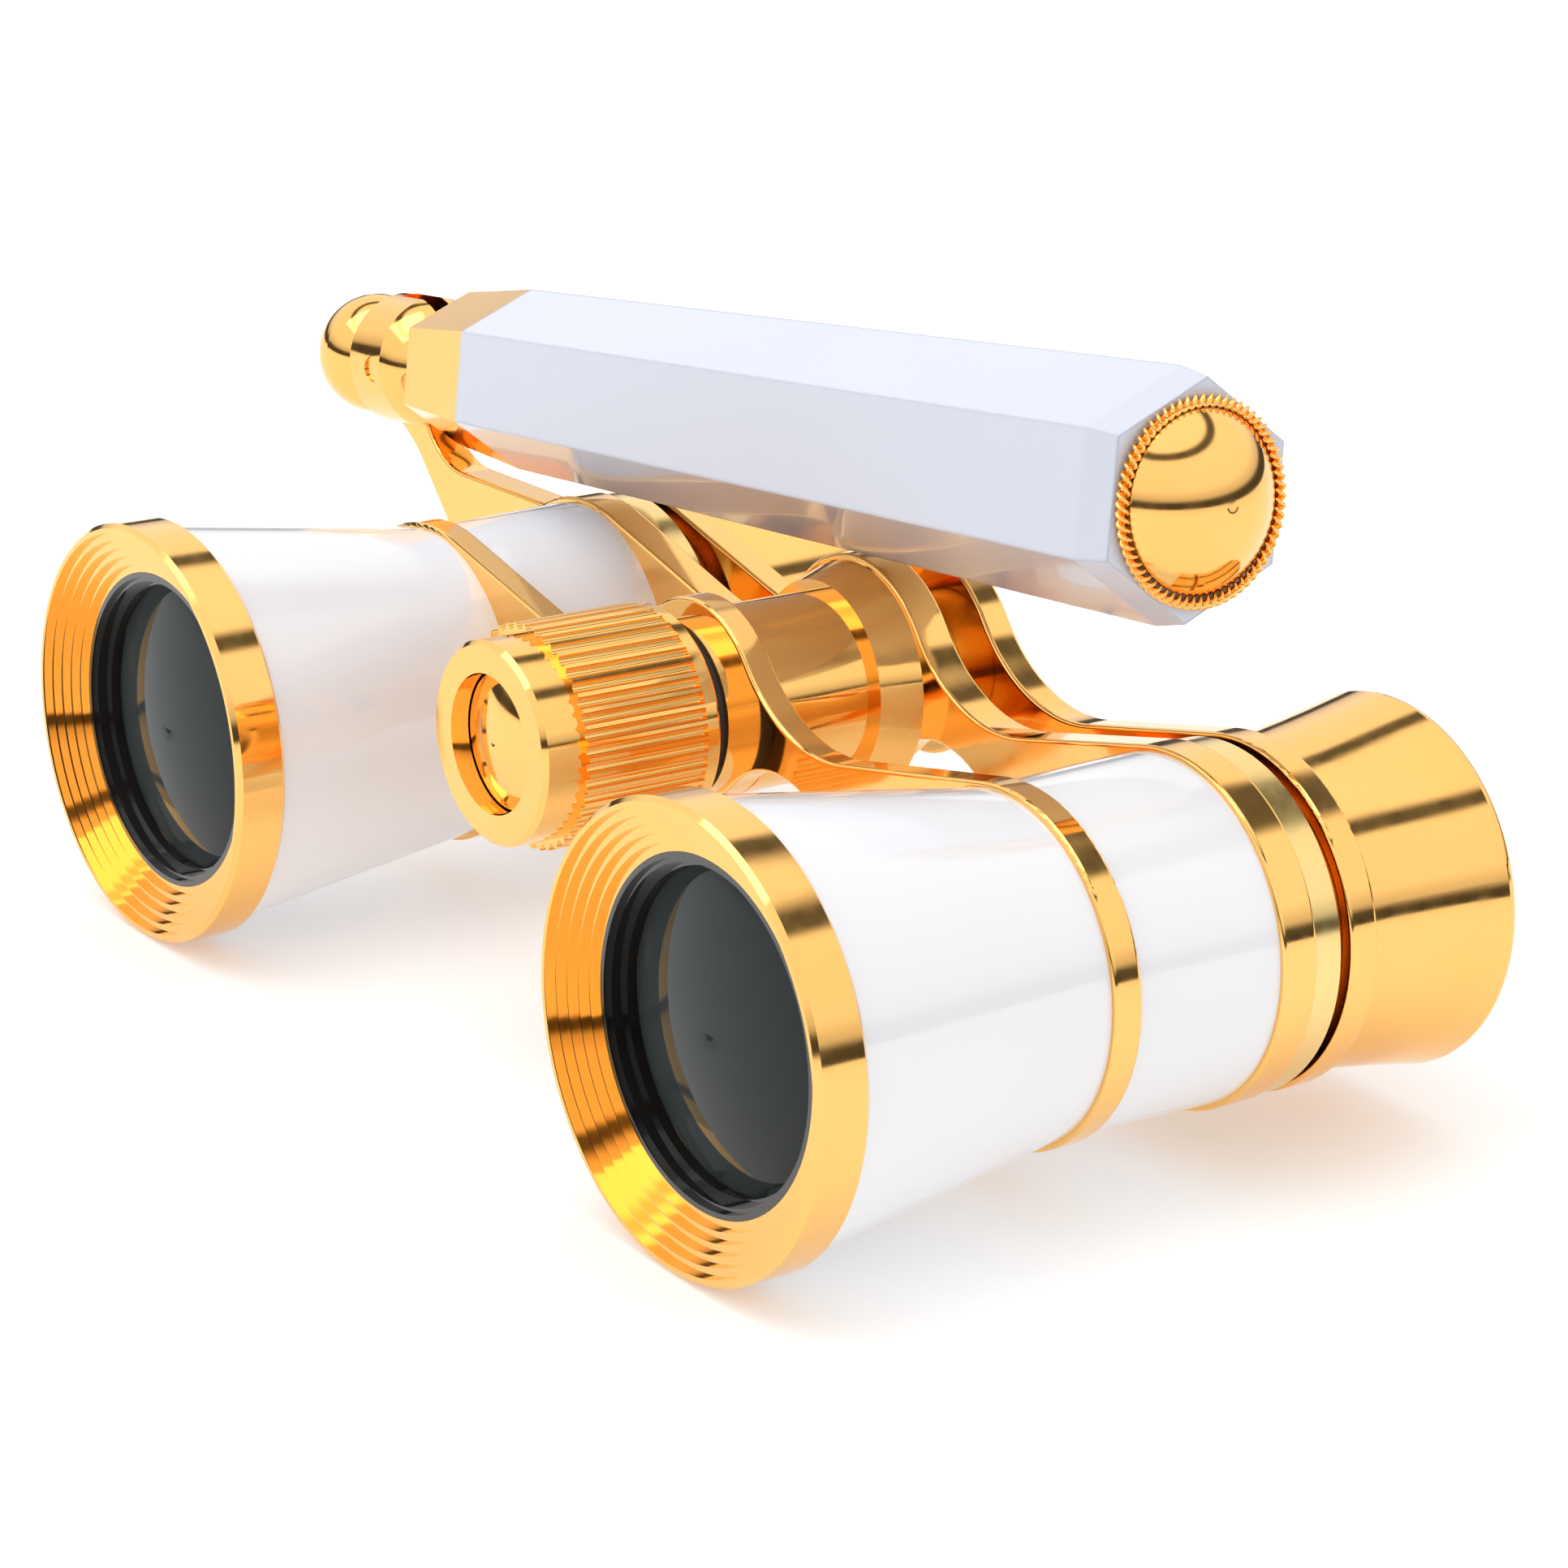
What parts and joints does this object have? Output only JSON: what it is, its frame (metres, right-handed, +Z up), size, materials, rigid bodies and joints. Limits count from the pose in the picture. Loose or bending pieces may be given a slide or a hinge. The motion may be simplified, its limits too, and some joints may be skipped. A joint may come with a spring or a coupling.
{
  "type": "opera glasses",
  "caption": "Compact Galilean binocular with a centre focusing knob, sliding eyepieces and a hexagonal handle that folds across the top.",
  "frame": {"origin": "centre of the footprint box, at the height of the lowest point of the objective rims", "axes": "+X across the two barrels, from the handle hinge side to the free side; +Y from the objectives to the eyepieces, along the barrels; +Z up"},
  "size_m": [0.113, 0.0536, 0.0477],
  "materials": {
    "gold": "polished gold-coloured plating",
    "pale_gold": "polished pale gold plating",
    "gold_tube": "satin gold",
    "brass": "plain turned",
    "black_ring": "gloss black",
    "black_tube": "matt black",
    "black_washer": "matt",
    "coated_glass": "polished, coated",
    "clear_glass": "polished",
    "white_enamel": "gloss enamel",
    "white_grip": "gloss",
    "steel": "turned"
  },
  "bodies": {
    "frame": {"ball_finial": "gold", "centre_tube": "gold", "end_ring_left": "pale_gold", "end_ring_right": "pale_gold", "front_bridge": "gold", "front_shell_left": "white_enamel", "front_shell_right": "white_enamel", "guide_tube_left": "black_tube", "guide_tube_right": "black_tube", "handle_knuckle": "gold", "hinge_pin": "steel", "middle_bridge": "gold", "objective_lens_left": "coated_glass", "objective_lens_right": "coated_glass", "objective_retainer_left": "black_ring", "objective_retainer_right": "black_ring", "objective_ring_left": "gold", "objective_ring_right": "gold", "rear_shell_left": "white_enamel", "rear_shell_right": "white_enamel", "spindle_bush": "gold", "thrust_washer": "black_washer"},
    "focus": {"focus_knob": "gold", "knob_disc": "gold", "focus_screw": "steel"},
    "eyepieces": {"eyepiece_bridge": "gold", "drive_sleeve": "brass", "hub_cap": "gold", "draw_tube_left": "gold_tube", "draw_tube_right": "gold_tube", "eyecup_left": "gold", "eyecup_right": "gold", "eye_lens_left": "clear_glass", "eye_lens_right": "clear_glass", "eye_retainer_left": "black_ring", "eye_retainer_right": "black_ring"},
    "handle": {"handle_ferrule": "gold", "handle_grip": "white_grip", "handle_core": "steel", "rope_ring": "gold", "handle_cap": "gold"}
  },
  "joints": [
    {"name": "focus_turn", "type": "hinge", "parent": "frame", "child": "focus", "pos_m": [0.01044, -0.01275, 0.0213], "axis": [0, 1, 0], "range_deg": [-42, 270]},
    {"name": "eyepiece_slide", "type": "slide", "parent": "frame", "child": "eyepieces", "axis": [0, 1, 0], "range_m": [-0.0007, 0.0045]},
    {"name": "handle_fold", "type": "hinge", "parent": "frame", "child": "handle", "pos_m": [-0.04507, 0.00985, 0.03003], "axis": [0, -1, 0], "range_deg": [0, 90]}
  ],
  "couplings": [
    {"joint": "focus_turn", "follows": "eyepiece_slide", "rad_per_m": 1047.2}
  ]
}
